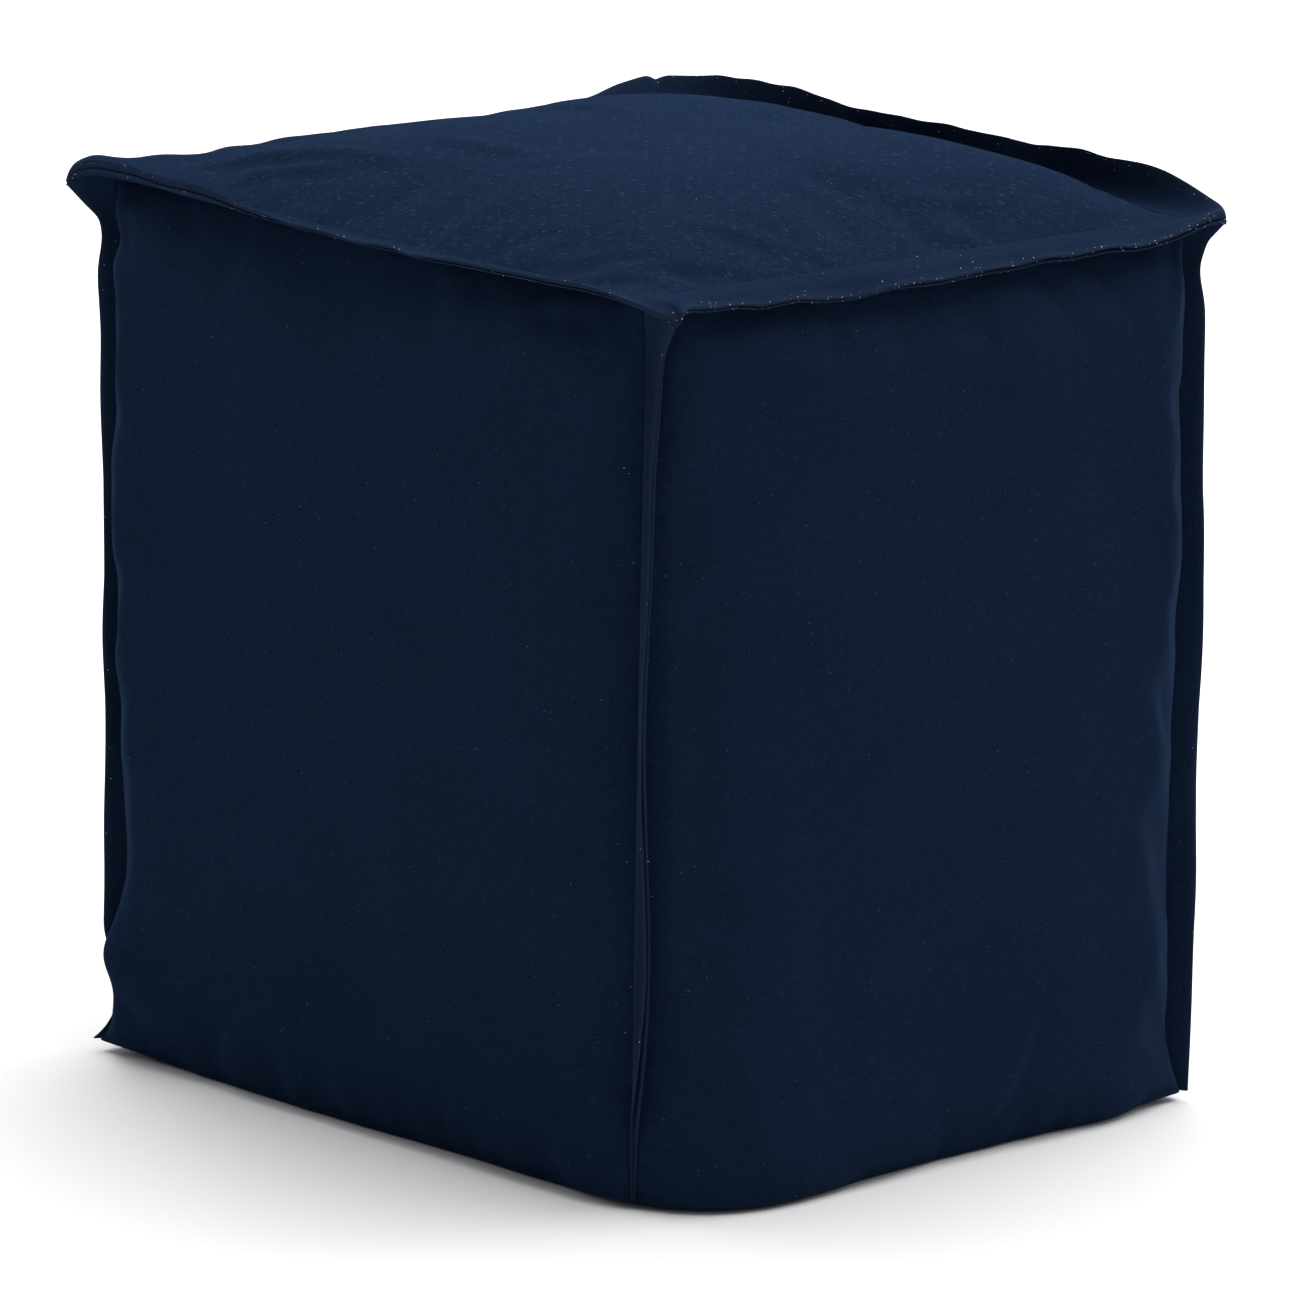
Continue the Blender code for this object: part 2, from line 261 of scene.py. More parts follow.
# %% Side panels
def panel_point(side, across, share):
    """Point of a side panel, by shares of its width and height."""
    start = seam_line(side, share)
    end = seam_line(side + 1, share)
    width = (end - start).length
    height = share * SEAM_HEIGHT
    point = start.lerp(end, across)
    point.z -= (1.0 - across) * floor_lift(side, share, 0.0) + across * floor_lift(side + 1, share, 0.0)
    point.z += floor_lift(side, share, across * width)
    point.z += floor_lift(side + 1, share, (1.0 - across) * width)
    outward = Vector((end.y - start.y, start.x - end.x, 0.0)).normalized()
    clear = min(across, 1.0 - across) * width
    corner = CORNERS[side % 4] if across < 0.5 else CORNERS[(side + 1) % 4]
    flat_ear = min(1.0, max(0.0, corner.ear) / FULL_EAR) * near_foot(share)
    flat_ear *= 1.0 - ease(clear / FLAT_EAR_REACH)
    full = corner.full + (1.0 - corner.full) * ease(clear / FULL_REACH)
    edge = roll(clear, corner.roll) * full * (1.0 - flat_ear)
    foot = FOOT_ROLL_SHARE + (1.0 - FOOT_ROLL_SHARE) * roll(height, FOOT_ROLL_REACH)
    under_top = roll(SEAM_HEIGHT - height, TOP_ROLL_REACH) ** TOP_ROLL_POWER
    rise = EDGE_ROLL * edge * foot * under_top
    rise += BELLY * math.sin(math.pi * across) * math.sin(math.pi * share)
    row = SIDES[side % 4]
    low = math.exp(-height / FOOT_SWELL_HEIGHT)
    rise += low * (row.foot_middle * math.sin(math.pi * across) + row.foot_first * hump(across * width))
    rise += (uneven(point) + swells(row.name, across * width, height)) * edge * under_top
    point += outward * rise
    point += ear_out(side, share, across * width) + ear_out(side + 1, share, (1.0 - across) * width)
    point.z -= row.sag * 4.0 * across * (1.0 - across) * share ** SAG_POWER
    return point


# %% Top and base panels
UNEVEN_START = 48.0  # steepness with which the top's unevenness starts at its seams


def between_seams(across, deep, share):
    """Point filled in smoothly between the four sides' lines at one share of the height."""
    front = panel_point(0, across, share)
    right = panel_point(1, deep, share)
    back = panel_point(2, 1.0 - across, share)
    left = panel_point(3, 1.0 - deep, share)
    corners = [corner_point(index, share) for index in range(4)]
    point = front.lerp(back, deep) + left.lerp(right, across)
    return point - corners[0].lerp(corners[1], across).lerp(corners[3].lerp(corners[2], across), deep)


def crown(across, deep):
    """Rise of the top panel, 0 on its seam and 1 in its middle."""
    return (1.0 - abs(2.0 * across - 1.0) ** CROWN_POWER) * (1.0 - abs(2.0 * deep - 1.0) ** CROWN_POWER)


def top_point(across, deep):
    """Point of the crowned top panel."""
    point = between_seams(across, deep, 1.0)
    inside = across * (1.0 - across) * deep * (1.0 - deep)
    rough = uneven(point) + swells("top", point.x, point.y)
    point.z += CROWN_HEIGHT * crown(across, deep) + rough * min(1.0, UNEVEN_START * inside)
    return point


def base_point(across, deep):
    """Point of the base, flat on the floor but for its lifted corners."""
    point = between_seams(across, deep, 0.0)
    point.z = 0.0
    for index in range(4):
        foot = corner_point(index, 0.0)
        point.z += floor_lift(index, 0.0, math.hypot(point.x - foot.x, point.y - foot.y))
    return point


print("middle of the top lies at", top_point(0.5, 0.5))

# %% [markdown]
# ## The cover's cloth
#
# The cover is one closed skin: four side panels, the top and the base. It is laid out as a
# grid that is finer towards the seams, where the cloth turns sharply. Each panel gets its own
# flat UV map measured in metres, because a weave runs straight along its own panel and stops
# at the seam. The base is a grid too: a fan of faces round one middle point would be slow to
# subdivide and would pinch.

# %% Helpers for meshes
PANEL_STEPS = 56
HEIGHT_STEPS = 62
EVEN_SHARE = 0.55  # the rest of a step's spacing draws in towards the seams
PANEL_APART = 0.6  # distance in the UV map between two panels, in metres
TOP_TURN = Matrix.Rotation(math.radians(-45.0), 2)  # the top panel is cut at this angle to its cloth
TOP_MIDDLE = Vector((SEAM_SIDE / 2, PANEL_APART + SEAM_SIDE / 2))


def spread(count, even=EVEN_SHARE):
    """Fractions from 0 to 1, closer together towards both ends."""
    drawn = [0.5 - 0.5 * math.cos(math.pi * k / count) for k in range(count + 1)]
    return [even * k / count + (1.0 - even) * drawn[k] for k in range(count + 1)]


def new_object(name, data):
    """Object at the origin that holds a mesh, a light or a camera."""
    made = bpy.data.objects.new(name, data)
    bpy.context.scene.collection.objects.link(made)
    return made


def new_mesh_object(name, points, faces):
    """Object at the origin from lists of points and faces."""
    mesh = bpy.data.meshes.new(name)
    mesh.from_pydata([tuple(point) for point in points], [], faces)
    mesh.update()
    return new_object(name, mesh)


def evaluated(piece):
    """The piece as its modifiers leave it."""
    return piece.evaluated_get(bpy.context.evaluated_depsgraph_get())


def keep_result(piece, modifier):
    """Turn a piece and its modifier into one plain smooth mesh."""
    made = bpy.data.meshes.new_from_object(evaluated(piece))
    piece.modifiers.remove(modifier)
    old = piece.data
    piece.data = made
    bpy.data.meshes.remove(old)
    made.name = piece.name
    made.shade_smooth()


def give_flat_map(piece, flat):
    """Write the flat cloth map, one list of corners for each face."""
    layer = piece.data.uv_layers.new(name="cloth")
    values = [value for face in flat for corner in face for value in corner]
    layer.data.foreach_set("uv", values)


def flat_square(left, right, low, high):
    """The four corners of one face in the flat map."""
    return (left, low), (right, low), (right, high), (left, high)


def off_grain(corners):
    """Corners of a face of the top, turned in the flat map by the angle of its cut."""
    return [TOP_MIDDLE + TOP_TURN @ (Vector(corner) - TOP_MIDDLE) for corner in corners]


# %% Lay out the cover
def rim_places():
    """Places on the rim of the top or base grid, round the pouf in the order of its sides."""
    steps = range(PANEL_STEPS)
    return ([(k, 0) for k in steps] + [(PANEL_STEPS, k) for k in steps]
            + [(PANEL_STEPS - k, PANEL_STEPS) for k in steps] + [(0, PANEL_STEPS - k) for k in steps])


def lay_out_cover():
    """Closed grid of the cover, with its panels' flat map and the numbers of its seam points."""
    across_steps = spread(PANEL_STEPS)
    up_steps = spread(HEIGHT_STEPS)
    around = 4 * PANEL_STEPS
    points, faces, flat, seams = [], [], [], set()
    for row, share in enumerate(up_steps):
        for side in range(4):
            for column, across in enumerate(across_steps[:-1]):
                if column == 0 or row in (0, HEIGHT_STEPS):
                    seams.add(len(points))
                points.append(panel_point(side, across, share))
    for row in range(HEIGHT_STEPS):
        for place in range(around):
            side, column = divmod(place, PANEL_STEPS)
            low, high = row * around, (row + 1) * around
            after = (place + 1) % around
            faces.append((low + place, low + after, high + after, high + place))
            start = side * PANEL_APART
            flat.append(flat_square(start + across_steps[column] * SEAM_SIDE,
                                    start + across_steps[column + 1] * SEAM_SIDE,
                                    up_steps[row] * SEAM_HEIGHT, up_steps[row + 1] * SEAM_HEIGHT))
    for panel, first, up in ((top_point, HEIGHT_STEPS * around, True), (base_point, 0, False)):
        grid = {place: first + k for k, place in enumerate(rim_places())}
        for i in range(1, PANEL_STEPS):
            for j in range(1, PANEL_STEPS):
                grid[i, j] = len(points)
                points.append(panel(across_steps[i], across_steps[j]))
                if not up:
                    seams.add(grid[i, j])
        start = PANEL_APART if up else -PANEL_APART
        for i in range(PANEL_STEPS):
            for j in range(PANEL_STEPS):
                face = (grid[i, j], grid[i + 1, j], grid[i + 1, j + 1], grid[i, j + 1])
                left, right, low, high = (across_steps[k] * SEAM_SIDE for k in (i, i + 1, j, j + 1))
                square = flat_square(left, right, start + low, start + high)
                faces.append(face if up else face[::-1])
                flat.append(off_grain(square) if up else square[::-1])
    return points, faces, flat, sorted(seams)


cover_points, cover_faces, cover_flat, seam_points = lay_out_cover()
CENTRE = Vector((-0.00434, 0.00273, 0.0))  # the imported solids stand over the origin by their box
cover = new_mesh_object("cover", [point + CENTRE for point in cover_points], cover_faces)
give_flat_map(cover, cover_flat)
print("cover:", len(cover.data.vertices), "points, moved by", CENTRE)

# %% [markdown]
# ## Filling it tight
#
# Cloth simulation does what the filling does: pressure from inside, with the seams held.
# The grid starts slightly slack and swells into shape, which draws fine uneven pulls out of
# the seams that no formula has. How far a point may move is capped, so that the pouf keeps
# its size.

# %% Press the cloth out from inside
FILL_FRAMES = 20
MOVE_CAP = 0.004
FILLED_CLOTH = {
    "quality": 4,
    "mass": 0.2,
    "tension_stiffness": 20.0,
    "compression_stiffness": 20.0,
    "shear_stiffness": 8.0,
    "bending_stiffness": 0.8,
    "use_pressure": True,
    "uniform_pressure_force": 4.0,
    "shrink_min": -0.012,  # the cloth is this share longer than its first shape
}


def read_points(mesh, name):
    """Places or normals of a mesh's points as rows of three numbers."""
    values = np.empty(len(mesh.vertices) * 3)
    mesh.vertices.foreach_get(name, values)
    return values.reshape(-1, 3)


def fill_tight(piece, held):
    """Swell a closed skin under pressure, with the held points pinned."""
    group = piece.vertex_groups.new(name="held")
    group.add(held, 1.0, "REPLACE")
    modifier = piece.modifiers.new("filling", "CLOTH")
    for setting, value in FILLED_CLOTH.items():
        setattr(modifier.settings, setting, value)
    modifier.settings.vertex_group_mass = group.name
    modifier.settings.effector_weights.gravity = 0.0
    modifier.collision_settings.use_collision = False
    modifier.collision_settings.use_self_collision = False
    scene = bpy.context.scene
    for step in range(1, FILL_FRAMES + 1):
        scene.frame_set(step)
    before = read_points(piece.data, "co")
    move = read_points(evaluated(piece).data, "co") - before
    length = np.maximum(np.linalg.norm(move, axis=1), 1e-9)
    move *= (np.minimum(length, MOVE_CAP) / length)[:, None]
    piece.modifiers.remove(modifier)
    piece.vertex_groups.remove(group)
    scene.frame_set(1)
    piece.data.vertices.foreach_set("co", (before + move).ravel())
    piece.data.update()
    return length.mean(), length.max()


mean_move, largest_move = fill_tight(cover, seam_points)
print("filling moved the cloth by", mean_move, "on average and at most", largest_move)

# %% [markdown]
# ## Folds by hand
#
# The few folds that show are pulls: soft ridges where the cloth is stretched towards a corner
# and shallow creases where someone has sat. Each is a short line on its panel, with a height,
# a softness and the length over which it fades. They are laid on after one subdivision, so
# that there are enough points to carry them.

# %% Subdivide the cover
def smooth_once(piece):
    """Apply one level of subdivision and shade the piece smooth."""
    modifier = piece.modifiers.new("finer", "SUBSURF")
    modifier.levels = 1
    modifier.render_levels = 1
    modifier.uv_smooth = "PRESERVE_CORNERS"
    keep_result(piece, modifier)


smooth_once(cover)
print("cover:", len(cover.data.polygons), "faces after one subdivision")

# %% Lay the folds on
# The folds of each panel: two ends in metres, as x and y on the top and as distance from the
# first corner and height on a side, then the rise, the half width and the bend
FOLDS = {
    "top": (
        ((-0.16, -0.155), (-0.045, -0.128), 0.0022, 0.006, 0.006),
        ((-0.125, -0.165), (-0.065, -0.14), 0.0016, 0.005, 0.003),
        ((-0.115, 0.02), (-0.04, 0.01), 0.002, 0.006, 0.004),
        ((-0.08, -0.09), (0.002, -0.086), 0.0018, 0.007, -0.004),
        ((-0.005, -0.112), (0.046, -0.063), 0.0008, 0.008, 0.003),
        ((0.112, -0.115), (0.155, -0.076), 0.0012, 0.006, 0.002),
        ((0.126, 0.011), (0.138, 0.062), 0.0014, 0.006, 0.002),
        ((0.15, 0.006), (0.162, 0.037), 0.001, 0.005, 0.001),
        ((0.145, -0.08), (0.159, -0.061), 0.001, 0.005, 0.0),
    ),
    "right": (
        ((0.245, 0.058), (0.205, 0.01), -0.002, 0.006, 0.004),
        ((0.338, 0.415), (0.322, 0.375), 0.002, 0.004, -0.003),
    ),
    "front": (
        ((0.27, 0.404), (0.32, 0.412), 0.0018, 0.005, 0.002),
        ((0.001, 0.416), (0.015, 0.386), 0.0028, 0.004, -0.002),
        ((0.07, 0.014), (0.1, 0.04), -0.0014, 0.006, 0.002),
    ),
    "left": (
        ((0.3, 0.408), (0.335, 0.414), 0.0014, 0.005, 0.002),
    ),
    "back": (
        ((0.012, 0.412), (0.03, 0.38), 0.0016, 0.005, 0.002),
    ),
}
FACING = {"front": (0, -1), "right": (1, 0), "back": (0, 1), "left": (-1, 0)}
TROUGH_SHARE = 0.35  # depth of the trough beside a ridge, against the ridge's rise
TROUGH_APART = 1.8  # distance of that trough, in half widths
FADE_POWER = 0.7  # less keeps a fold high until nearer its ends
ON_PANEL = {"top": 0.5, "side": 0.3}  # how far a point's normal faces a panel's way to lie on it


def panel_places(panel, own, out):
    """Flat places on a panel for all points, and which of them lie on it."""
    if panel == "top":
        return own[:, :2], (out[:, 2] > ON_PANEL["top"]) & (own[:, 2] > 0.9 * SEAM_HEIGHT)
    toward = FACING[panel]
    along = {"front": own[:, 0], "right": own[:, 1], "back": -own[:, 0], "left": -own[:, 1]}[panel]
    places = np.stack((along + SEAM_SIDE / 2, own[:, 2]), axis=1)
    return places, (out[:, 0] * toward[0] + out[:, 1] * toward[1]) > ON_PANEL["side"]


def lay_folds(piece, folds):
    """Raise or sink the cloth along each fold, straight out of its panel."""
    places = read_points(piece.data, "co")
    out = read_points(piece.data, "normal")
    moved = np.zeros(len(places))
    for panel, rows in folds.items():
        flat, chosen = panel_places(panel, places - np.array(CENTRE), out)
        for start, end, rise, width, bend in rows:
            line = np.subtract(end, start)
            length = np.linalg.norm(line)
            part = (flat - start) @ line / length ** 2
            middle = 1.0 - (2.0 * part - 1.0) ** 2
            beside = (flat - start) @ (-line[1], line[0]) / length
            apart = (beside - bend * np.maximum(middle, -1.0)) / width
            shape = np.exp(-apart ** 2) - TROUGH_SHARE * np.exp(-(apart + TROUGH_APART) ** 2)
            moved += chosen * rise * np.clip(middle, 0.0, 1.0) ** FADE_POWER * shape
    piece.data.vertices.foreach_set("co", (places + out * moved[:, None]).ravel())
    piece.data.update()
    return np.abs(moved).max()


print(sum(map(len, FOLDS.values())), "folds, the deepest", lay_folds(cover, FOLDS))

# %% [markdown]
# ## The flanges
#
# A flange is two layers of cloth whose raw edges are turned in, so it ends in two soft rounded
# lips with a narrow opening between them. It could be a flat ribbon with thickness, but then
# the double line along its edge would be missing. So its section is drawn once, layer by
# layer, and carried round the seam, with its reach, its opening and its tilt wandering a
# little as hand-fed cloth does.

# %% Section of doubled cloth
TOP_LIPS = (0.00058, 0.00055)  # radii of the two lips of the top flange: the upper one first
CORNER_LIPS = (0.00062, 0.0004)  # the same for a corner flange: the right one first
ROOT_HALF = 0.0006
HIDDEN_ROOT = 0.003
LAYER_SHARES = (0.0, 0.12, 0.3, 0.5, 0.7, 0.86)
LAYER_CURVE = 1.3
LIP_TURNS = (90.0, 55.0, 20.0, -20.0, -55.0, -90.0)
GAP_DEPTH = 0.3  # how deep the opening between the lips goes, as a share of the width
GAP_SHUT = 0.2  # its height in there, against its height between the lips


def cloth_layer(width, opening, root, lip):
    """Upper layer in section, as (out, up) pairs from its root, round its lip and into the gap."""
    half = 0.5 * opening
    full = half + 2.0 * lip
    layer = [(share * (width - lip), root + (full - root) * share ** LAYER_CURVE) for share in LAYER_SHARES]
    for turn in LIP_TURNS:
        angle = math.radians(turn)
        layer.append((width - lip + lip * math.cos(angle), half + lip + lip * math.sin(angle)))
    layer.append((width * (1.0 - GAP_DEPTH), GAP_SHUT * half))
    return layer


def doubled_section(width, opening, short, root, lips):
    """Doubled cloth in section. The lower layer's lip stays short of the upper one's."""
    upper = cloth_layer(width, opening, root, lips[0])
    lower = cloth_layer(width - short, opening, root, lips[1])
    return upper + [(out, -up) for out, up in reversed(lower)]


# How much of the lip each point of a layer belongs to, for the paler look of a worn edge with a painted
# highlight on it
LAYER_MARKS = [0.0] * (len(LAYER_SHARES) - 1) + [0.35] + [1.0] * (len(LIP_TURNS) - 1) + [0.5, 0.0]
SECTION_MARKS = LAYER_MARKS + LAYER_MARKS[::-1]
print("section of", len(SECTION_MARKS), "points")


def wander(place, *waves):
    """Smooth seeded wandering along a seam, as waves of (amount, seed, size)."""
    return sum(amount * (2.0 * noise.noise(Vector((place / size, 13.7 * seed, 0.5))))
               for amount, seed, size in waves)


# %% Lay of the top flange
ROUND_LOSS = TIP_ROUND * (math.sqrt(2.0) - 1.0)
TURN_REACH = 0.034  # a tip that leans takes this much of each side with it
SHORT_BLEND = 0.07
TIP_SHORT = 0.001
DROOP_POWER = 3
LOWER_BULK = 0.2  # the lower lip of a tip thickens by this share of the upper lip's


def five_angles(angles, share):
    """Angle in radians at a share of the way along five angles in degrees."""
    first = min(3, int(share * 4.0))
    return math.radians(angles[first] + (angles[first + 1] - angles[first]) * ease(share * 4.0 - first))


def blended(across, own, at_corner, reach=TILT_BLEND):
    """A side's own value, turning into the corner's value near both ends of the side."""
    return at_corner + (own - at_corner) * ease(min(across, 1.0 - across) / reach)


def flange_tilt(side, across):
    """Tilt of the top flange above level, turning into the neighbour's tilt at the corners."""
    corner = side if across < 0.5 else side + 1
    shared = 0.5 * (TOP_FLANGES[corner % 4].tilt_first + TOP_FLANGES[(corner - 1) % 4].tilt_last)
    return blended(across, five_angles(TOP_FLANGES[side % 4], across), math.radians(shared))


def near_corner(across, reach=TIP_REACH):
    """1 at a side's first corner, falling to 0 within a reach of it."""
    return max(0.0, 1.0 - across * SEAM_SIDE / reach) ** 2


def flange_out(side, across):
    """Level vector from the top seam to the lip, longer and rounded at the tips, which lean."""
    square = (corner_out(side) + corner_out(side + 1)) / math.sqrt(2.0)
    along = (corner_out(side + 1) - corner_out(side)).normalized()
    out = (square + along * (2.0 * across - 1.0)) * FLANGE_WIDTH
    turned = 0.0
    for index, distance, inward in ((side, across, along), (side + 1, 1.0 - across, -along)):
        longer = TIPS[index % 4].reach + ROUND_LOSS - FLANGE_WIDTH * math.sqrt(2.0)
        out += corner_out(index) * longer * near_corner(distance)
        arc = min(1.0, distance * (SEAM_SIDE + 2.0 * FLANGE_WIDTH) / TIP_ROUND)
        turn = math.radians(45.0 + 45.0 * arc)
        out += (inward * (1.0 - math.cos(turn) - arc) - square * (1.0 - math.sin(turn))) * TIP_ROUND
        turned += math.radians(CORNER_FLANGES[index % 4].lean_top) * near_corner(distance, TURN_REACH)
    return Matrix.Rotation(turned, 3, "Z") @ out


# %% Flange round the top
FLANGE_STEPS = 110
ROOT_SHARES = 8.0  # the root's offset is made up within one of so many shares of the width
CROWN_JOIN = 0.004  # the upper layer starts on the crown, this far inside the seam
CROWN_CLEAR = 0.0002  # and this far above it
TIP_SPREAD = 0.0024  # the lower layer starts this much lower at a corner, where three flanges meet
FREE_FROM_TIP = 6.0  # steepness with which the wandering starts away from a corner
MIDDLE = Vector((0.5, 0.5))


def top_flange_ring(side, across):
    """Points of the top flange's section at one place of its seam."""
    seam = panel_point(side, across, 1.0)
    row = TOP_FLANGES[side]
    first, second = TIPS[side], TIPS[(side + 1) % 4]
    tip = first if across < 0.5 else second
    near = near_corner(min(across, 1.0 - across))
    out = flange_out(side, across)
    level = out.normalized()
    place = (side + across) * SEAM_SIDE
    free = min(1.0, FREE_FROM_TIP * min(across, 1.0 - across))
    width = out.length + wander(place, (0.001, 1, 0.04), (0.0005, 5, 0.014)) * free
    sway = wander(place, (5.0, 2, 0.07), (3.0, 6, 0.022))
    tilt = flange_tilt(side, across) + math.radians(sway) * free
    opening = blended(across, row.opening * (1.0 + wander(place, (0.5, 3, 0.03))), tip.opening)
    short = blended(across, row.short * (1.0 + wander(place, (0.4, 4, 0.045))), TIP_SHORT, SHORT_BLEND)
    drop = first.droop * near_corner(across, first.droop_reach)
    drop += second.droop * near_corner(1.0 - across, second.droop_reach)
    lips = [TOP_LIPS[0] + tip.bulk * near, TOP_LIPS[1] + LOWER_BULK * tip.bulk * near]
    spread_down = TIP_SPREAD * near
    points = []
    for reach, up in doubled_section(width, opening, short, ROOT_HALF, lips):
        share = max(0.0, reach / width)
        distance = ROOT_OFFSET * width / FLANGE_WIDTH * min(1.0, share * ROOT_SHARES) + reach
        turned = 1.0 - share + math.cos(tilt) * share
        point = seam + level * (distance * turned - up * math.sin(tilt) * share)
        point.z += distance * math.sin(tilt) * share + up * turned
        point.z -= drop * share ** DROOP_POWER + (spread_down * (1.0 - share) ** 2 if up < 0.0 else 0.0)
        points.append(point)
    here = Vector(((across, 0.0), (1.0, across), (1.0 - across, 1.0), (0.0, 1.0 - across))[side])
    inside = here.lerp(MIDDLE, CROWN_JOIN / (SEAM_SIDE * (here - MIDDLE).length))
    on_crown = top_point(inside.x, inside.y)
    on_crown.z += CROWN_CLEAR
    below = seam - level * HIDDEN_ROOT
    below.z -= HIDDEN_ROOT
    return [on_crown] + points + [below]


# %% Skin a flange
BARE_LINT = 0.012  # lint away from the lips, against the lint on them


def skin_rings(name, rings, lengths, marks, fluff, closed):
    """Closed piece over rings of points: marks name the lips' points, fluff is each ring's lint."""
    size = len(rings[0])
    count = len(rings)
    faces, flat = [], []
    for k in range(count if closed else count - 1):
        after = (k + 1) % count
        here, there = lengths[k], lengths[k + 1]
        girth = 0.0
        for m in range(size):
            beside = (m + 1) % size
            step = (rings[k][beside] - rings[k][m]).length
            faces.append((k * size + m, k * size + beside, after * size + beside, after * size + m))
            flat.append(((here, girth), (here, girth + step), (there, girth + step), (there, girth)))
            girth += step
    if not closed:
        faces.append(tuple(range(size))[::-1])
        flat.append([(rings[0][m].x, rings[0][m].y) for m in range(size)][::-1])
        faces.append(tuple((count - 1) * size + m for m in range(size)))
        flat.append([(rings[-1][m].x, rings[-1][m].y) for m in range(size)])
    piece = new_mesh_object(name, [point + CENTRE for ring in rings for point in ring], faces)
    give_flat_map(piece, flat)
    lint = [(mark + BARE_LINT) * share for share in fluff for mark in marks]
    for attribute, values in (("lip", marks * count), ("lint", lint)):
        piece.data.attributes.new(attribute, "FLOAT", "POINT").data.foreach_set("value", values)
    builder = bmesh.new()
    builder.from_mesh(piece.data)
    bmesh.ops.recalc_face_normals(builder, faces=builder.faces)
    if builder.calc_volume(signed=True) < 0.0:
        bmesh.ops.reverse_faces(builder, faces=builder.faces)
    builder.to_mesh(piece.data)
    builder.free()
    smooth_once(piece)
    return piece


FLANGE_EVEN_SHARE = 0.35
SIDE_LINT = (0.3, 1.0, 0.35, 0.2)  # lint gathered by the top flange along each side
top_rings = []
top_lengths = []
top_fluff = []
for side in range(4):
    for across in spread(FLANGE_STEPS, FLANGE_EVEN_SHARE)[:-1]:
        top_rings.append(top_flange_ring(side, across))
        top_lengths.append((side + across) * SEAM_SIDE)
        top_fluff.append(SIDE_LINT[side])
top_lengths.append(4.0 * SEAM_SIDE)
top_marks = [0.0] + SECTION_MARKS + [0.0]
top_cloth = skin_rings("top_flange_cloth", top_rings, top_lengths, top_marks, top_fluff, True)
print("top flange:", len(top_cloth.data.polygons), "faces")

# %% Flanges down the corners
CORNER_FLANGE_END = 0.001
RUN_OUT_HEIGHT = 0.036
FLARE_POWER = 1.4
WAIST_REACH = 0.013
TIP_SETBACK = -0.0002  # from the end of the tip above back to the flare's edge
TIP_OVERLAP = 0.004  # the corner flange's end is sewn this far into the tip
NEXT_TO_TIP = 0.9988  # a last ring right under that end keeps its corner crisp
CORNER_STEPS = 120
CORNER_OPENING = 0.0013
SHUT_HEIGHT = 0.165  # above this the lips of a corner flange close up, by the share below
SHUT_REACH = 0.06
SHUT_SHARE = 0.92
SHUT_ENDS = 20.0  # steepness with which the lips close at both ends
FREE_BELOW_TIP = 8.0  # steepness with which the wandering starts below the tip
LIP_SHARE = 0.35  # a lip is never thicker than this share of the flange's width


def corner_flange_ring(index, place):
    """Ring of one corner flange, at a place between its foot and the top flange's tip."""
    row, tip = CORNER_FLANGES[index], TIPS[index]
    out = corner_out(index)
    sideways = Vector((-out.y, out.x, 0.0))
    height = CORNER_FLANGE_END + (SEAM_HEIGHT - CORNER_FLANGE_END) * place
    share = height / SEAM_HEIGHT
    seam = corner_point(index, share)
    below = SEAM_HEIGHT - height
    flare = max(0.0, 1.0 - below / tip.flare)
    free = min(1.0, FREE_BELOW_TIP * (1.0 - place))
    width = CORNER_FLANGE_WIDTH + wander(height, (0.0005, 11 + index, 0.045)) * free
    width += (tip.reach - TIP_SETBACK - CORNER_FLANGE_WIDTH) * flare ** FLARE_POWER
    width -= tip.waist * math.exp(-((below - tip.waist_depth) / WAIST_REACH) ** 2)
    width -= CORNERS[index].ear * near_foot(share)
    width -= CORNER_DRAW_IN * max(0.0, 1.0 - 2.0 * share) ** CORNER_PINCH
    run_out = ease((height - row.notch) / RUN_OUT_HEIGHT)
    width = row.foot_width + (max(width, row.foot_width) - row.foot_width) * run_out
    lean = five_angles(row, share) + math.radians(wander(height, (5.0, 21 + index, 0.08))) * free
    shut = min(1.0, SHUT_ENDS * place, SHUT_ENDS * (1.0 - place))
    opening = CORNER_OPENING * shut * (1.0 + wander(height, (0.5, 31 + index, 0.04)))
    opening *= 1.0 - SHUT_SHARE * ease((height - SHUT_HEIGHT) / SHUT_REACH)
    short = wander(height, (0.0006, 41 + index, 0.05)) * shut
    lips = [min(radius, LIP_SHARE * width) for radius in CORNER_LIPS]
    tilt = flange_tilt(index, 0.0)
    tip_half = 0.5 * tip.opening + 2.0 * (TOP_LIPS[1] + LOWER_BULK * tip.bulk)
    ring = []
    for reach, thick in doubled_section(width, opening, short, ROOT_HALF + TIP_SPREAD * flare ** 2, lips):
        part = max(0.0, reach / width)
        swing = math.sin(lean) * reach * part
        distance = CORNER_ROOT_OFFSET + reach * (1.0 - part * (1.0 - math.cos(lean)))
        point = seam + out * distance + sideways * (thick + swing)
        under = TIP_SPREAD * (1.0 - part) ** 2 + tip_half * part ** LAYER_CURVE - TIP_OVERLAP * part
        point.z += flare * (reach * math.sin(tilt) * part - tip.droop * part ** DROOP_POWER - under)
        ring.append(point)
    ring.append(seam - out * HIDDEN_ROOT - sideways * ROOT_HALF)
    ring.append(seam - out * HIDDEN_ROOT + sideways * ROOT_HALF)
    return ring


CORNER_LINT = 0.15
corner_cloths = []
corner_rings = []
for index, corner in enumerate(CORNERS):
    places = spread(CORNER_STEPS)[:-1] + [NEXT_TO_TIP, 1.0]
    rings = [corner_flange_ring(index, place) for place in places]
    lengths = [place * SEAM_HEIGHT + PANEL_APART * (index + 1) for place in places]
    marks = SECTION_MARKS + [0.0, 0.0]
    fluff = [CORNER_LINT] * len(rings)
    corner_cloths.append(skin_rings("flange_cloth_" + corner.name, rings, lengths, marks, fluff, False))
    corner_rings.append(rings)
print("corner flanges:", [len(piece.data.polygons) for piece in corner_cloths], "faces")
